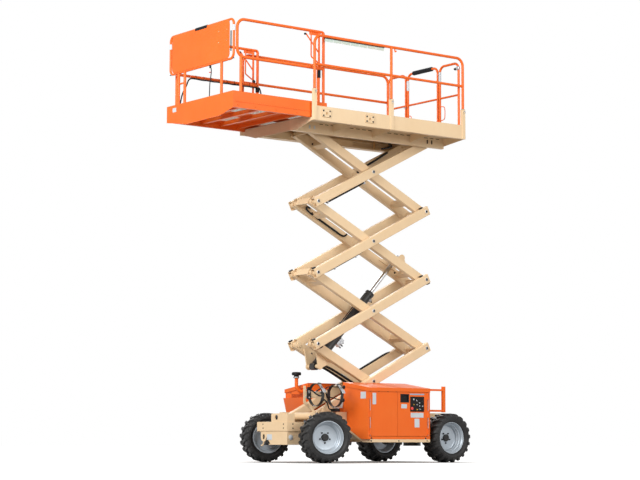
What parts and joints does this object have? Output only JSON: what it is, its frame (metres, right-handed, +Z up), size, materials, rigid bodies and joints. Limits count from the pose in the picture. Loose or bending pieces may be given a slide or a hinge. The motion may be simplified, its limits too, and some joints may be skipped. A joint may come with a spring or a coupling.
{
  "type": "rough-terrain scissor lift",
  "caption": "Self-propelled lift on four lugged wheels: crossed arms raise a railed deck with a roll-out front, and side housings hold the drive.",
  "frame": {"origin": "on the ground, midway along and across the whole machine as it stands", "axes": "+X forward towards the roll-out deck, +Y to the machine's left, +Z up"},
  "size_m": [3.904, 1.902, 5.6308],
  "materials": {
    "cream_paint": "satin",
    "orange_paint": "gloss",
    "black_paint": "satin",
    "rim_paint": "satin",
    "rod_chrome": "polished",
    "deck_plate": "satin",
    "engine_iron": "rough",
    "tyre": "matte"
  },
  "bodies": {
    "chassis": {"chassis_frame": "cream_paint", "nose_plate": "cream_paint", "front_axle": "black_paint", "rear_axle": "black_paint", "left_housing": "orange_paint", "right_housing": "orange_paint", "left_cover": "orange_paint", "right_cover": "orange_paint", "engine_block": "engine_iron", "rear_steps": "orange_paint", "tank_cradle": "cream_paint", "tank_straps": "black_paint", "intake_pipe": "orange_paint"},
    "left_door": {"left_door": "orange_paint"},
    "right_door": {"right_door": "orange_paint"},
    "left_rear_door": {"left_rear_door": "orange_paint", "ground_controls": "black_paint"},
    "right_rear_door": {"right_rear_door": "orange_paint"},
    "knuckle_left": {"knuckle_front_left": "black_paint"},
    "knuckle_right": {"knuckle_front_right": "black_paint"},
    "lift_barrel": {"lift_barrel": "black_paint"},
    "lift_rod": {"lift_rod": "rod_chrome"},
    "deck": {"deck_frame": "cream_paint", "deck_floor": "deck_plate", "deck_sides": "cream_paint", "tie_plates": "cream_paint", "left_rail": "orange_paint", "right_rail": "orange_paint", "rear_rail_left": "orange_paint", "rear_rail_right": "orange_paint"},
    "gate": {"gate": "orange_paint"},
    "extension": {"extension_frame": "orange_paint", "extension_floor": "orange_paint", "extension_rail_left": "orange_paint", "extension_rail_right": "orange_paint", "front_guard": "orange_paint"},
    "outer_1": {"outer_arms_1": "cream_paint"},
    "inner_1": {"inner_arms_1": "cream_paint"},
    "outer_2": {"outer_arms_2": "cream_paint"},
    "inner_2": {"inner_arms_2": "cream_paint"},
    "outer_3": {"outer_arms_3": "cream_paint"},
    "inner_3": {"inner_arms_3": "cream_paint"},
    "outer_4": {"outer_arms_4": "cream_paint"},
    "inner_4": {"inner_arms_4": "cream_paint"},
    "wheel_front_left": {"tyre_front_left": "tyre", "rim_front_left": "rim_paint"},
    "wheel_front_right": {"tyre_front_right": "tyre", "rim_front_right": "rim_paint"},
    "wheel_rear_left": {"tyre_rear_left": "tyre", "rim_rear_left": "rim_paint"},
    "wheel_rear_right": {"tyre_rear_right": "tyre", "rim_rear_right": "rim_paint"}
  },
  "joints": [
    {"name": "lift", "type": "hinge", "parent": "chassis", "child": "outer_1", "pos_m": [0.233, 0, 0.611], "axis": [0, 1, 0], "range_deg": [-22.5, 32.2]},
    {"name": "inner_1_pivot", "type": "hinge", "parent": "outer_1", "child": "inner_1", "pos_m": [-0.70686, 0, 1.08473], "axis": [0, -1, 0], "range_deg": [-45.05, 64.45]},
    {"name": "inner_2_pivot", "type": "hinge", "parent": "outer_1", "child": "inner_2", "pos_m": [-1.64672, 0, 1.55846], "axis": [0, -1, 0], "range_deg": [-45.05, 64.45]},
    {"name": "outer_2_pivot", "type": "hinge", "parent": "inner_2", "child": "outer_2", "pos_m": [-0.70686, 0, 2.03219], "axis": [0, 1, 0], "range_deg": [-45.05, 64.45]},
    {"name": "outer_3_pivot", "type": "hinge", "parent": "inner_2", "child": "outer_3", "pos_m": [0.233, 0, 2.50591], "axis": [0, 1, 0], "range_deg": [-45.05, 64.45]},
    {"name": "inner_3_pivot", "type": "hinge", "parent": "outer_3", "child": "inner_3", "pos_m": [-0.70686, 0, 2.97964], "axis": [0, -1, 0], "range_deg": [-45.05, 64.45]},
    {"name": "inner_4_pivot", "type": "hinge", "parent": "outer_3", "child": "inner_4", "pos_m": [-1.64672, 0, 3.45337], "axis": [0, -1, 0], "range_deg": [-45.05, 64.45]},
    {"name": "outer_4_pivot", "type": "hinge", "parent": "inner_4", "child": "outer_4", "pos_m": [-0.70686, 0, 3.9271], "axis": [0, 1, 0], "range_deg": [-45.05, 64.45]},
    {"name": "deck_pivot", "type": "hinge", "parent": "inner_4", "child": "deck", "pos_m": [0.233, 0, 4.40083], "axis": [0, 1, 0], "range_deg": [-22.55, 32.25]},
    {"name": "barrel_pivot", "type": "hinge", "parent": "inner_1", "child": "lift_barrel", "pos_m": [0.07606, 0, 1.27218], "axis": [0, 1, 0], "range_deg": [-43.92, 62.84]},
    {"name": "rod_slide", "type": "slide", "parent": "lift_barrel", "child": "lift_rod", "axis": [-0.6805, 0, 0.7327], "range_m": [-0.4929, 0.7045]},
    {"name": "roll_out", "type": "slide", "parent": "deck", "child": "extension", "axis": [1, 0, 0], "range_m": [-1.2, 0]},
    {"name": "gate_hinge", "type": "hinge", "parent": "deck", "child": "gate", "pos_m": [-1.83721, 0.325, 4.63983], "axis": [0, 0, 1], "range_deg": [0, 90]},
    {"name": "left_door_hinge", "type": "hinge", "parent": "chassis", "child": "left_door", "pos_m": [-0.212, 0.83, 0.64], "axis": [0, 0, -1], "range_deg": [0, 100]},
    {"name": "left_rear_door_hinge", "type": "hinge", "parent": "chassis", "child": "left_rear_door", "pos_m": [-1.202, 0.83, 0.64], "axis": [0, 0, 1], "range_deg": [0, 100]},
    {"name": "right_door_hinge", "type": "hinge", "parent": "chassis", "child": "right_door", "pos_m": [-0.212, -0.83, 0.64], "axis": [0, 0, 1], "range_deg": [0, 100]},
    {"name": "right_rear_door_hinge", "type": "hinge", "parent": "chassis", "child": "right_rear_door", "pos_m": [-1.202, -0.83, 0.64], "axis": [0, 0, -1], "range_deg": [0, 100]},
    {"name": "steer_left", "type": "hinge", "parent": "chassis", "child": "knuckle_left", "pos_m": [0.398, 0.597, 0.33], "axis": [0, 0, 1], "range_deg": [-17.7, 52.3]},
    {"name": "steer_right", "type": "hinge", "parent": "chassis", "child": "knuckle_right", "pos_m": [0.398, -0.597, 0.33], "axis": [0, 0, 1], "range_deg": [-17.75, 52.35]},
    {"name": "wheel_front_left", "type": "hinge", "parent": "knuckle_left", "child": "wheel_front_left", "pos_m": [0.43309, 0.70966, 0.33], "axis": [0.2974, 0.9548, 0], "continuous": true},
    {"name": "wheel_front_right", "type": "hinge", "parent": "knuckle_right", "child": "wheel_front_right", "pos_m": [0.36291, -0.70966, 0.33], "axis": [0.2974, 0.9548, 0], "continuous": true},
    {"name": "wheel_rear_left", "type": "hinge", "parent": "chassis", "child": "wheel_rear_left", "pos_m": [-1.622, 0.715, 0.33], "axis": [0, 1, 0], "continuous": true},
    {"name": "wheel_rear_right", "type": "hinge", "parent": "chassis", "child": "wheel_rear_right", "pos_m": [-1.622, -0.715, 0.33], "axis": [0, 1, 0], "continuous": true}
  ],
  "couplings": [
    {"joint": "inner_1_pivot", "follows": "lift", "ratio": 2},
    {"joint": "inner_2_pivot", "follows": "lift", "ratio": 2},
    {"joint": "outer_2_pivot", "follows": "lift", "ratio": 2},
    {"joint": "outer_3_pivot", "follows": "lift", "ratio": 2},
    {"joint": "inner_3_pivot", "follows": "lift", "ratio": 2},
    {"joint": "inner_4_pivot", "follows": "lift", "ratio": 2},
    {"joint": "outer_4_pivot", "follows": "lift", "ratio": 2},
    {"joint": "deck_pivot", "follows": "lift", "ratio": 1},
    {"joint": "barrel_pivot", "follows": "lift", "ratio": 1.95},
    {"joint": "rod_slide", "follows": "lift", "m_per_rad": 1.25},
    {"joint": "steer_right", "follows": "steer_left", "ratio": 1}
  ]
}
